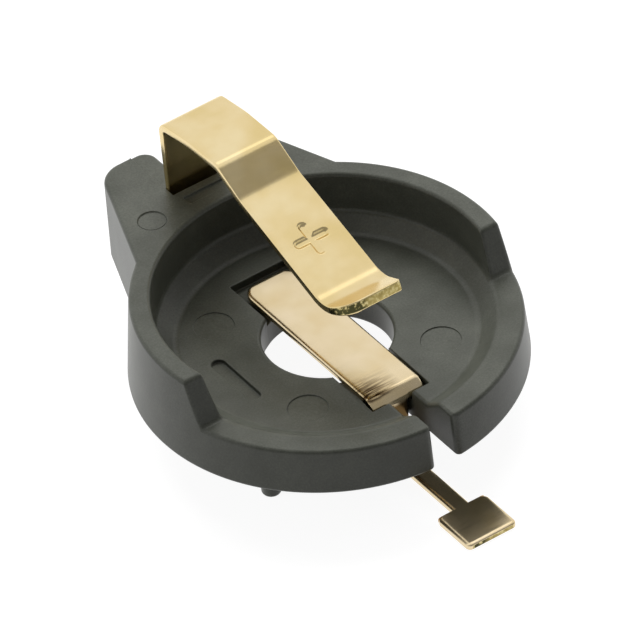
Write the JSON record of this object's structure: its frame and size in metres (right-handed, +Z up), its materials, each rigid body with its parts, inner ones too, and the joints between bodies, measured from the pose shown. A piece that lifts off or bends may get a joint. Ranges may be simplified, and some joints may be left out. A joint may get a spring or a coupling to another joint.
{
  "type": "coin cell holder",
  "caption": "Open coin cell holder for a circuit board: dark moulded round cup with feet and a tapered rear block, gold spring blade on its floor and a folded gold spring clip over the cell.",
  "frame": {"origin": "on the axis of the round pocket, at the plane on which the feet and the solder pads stand", "axes": "+Z up out of the pocket, +Y towards the rear block and the positive pad, -Y towards the negative pad and the low wall, X across"},
  "size_m": [0.0294, 0.045, 0.0178],
  "materials": {
    "moulding": "matte, fine moulded grain",
    "contact_metal": "gold plated, satin"
  },
  "bodies": {
    "root": {"body": "moulding", "positive_clip": "contact_metal", "negative_contact": "contact_metal"}
  },
  "joints": []
}
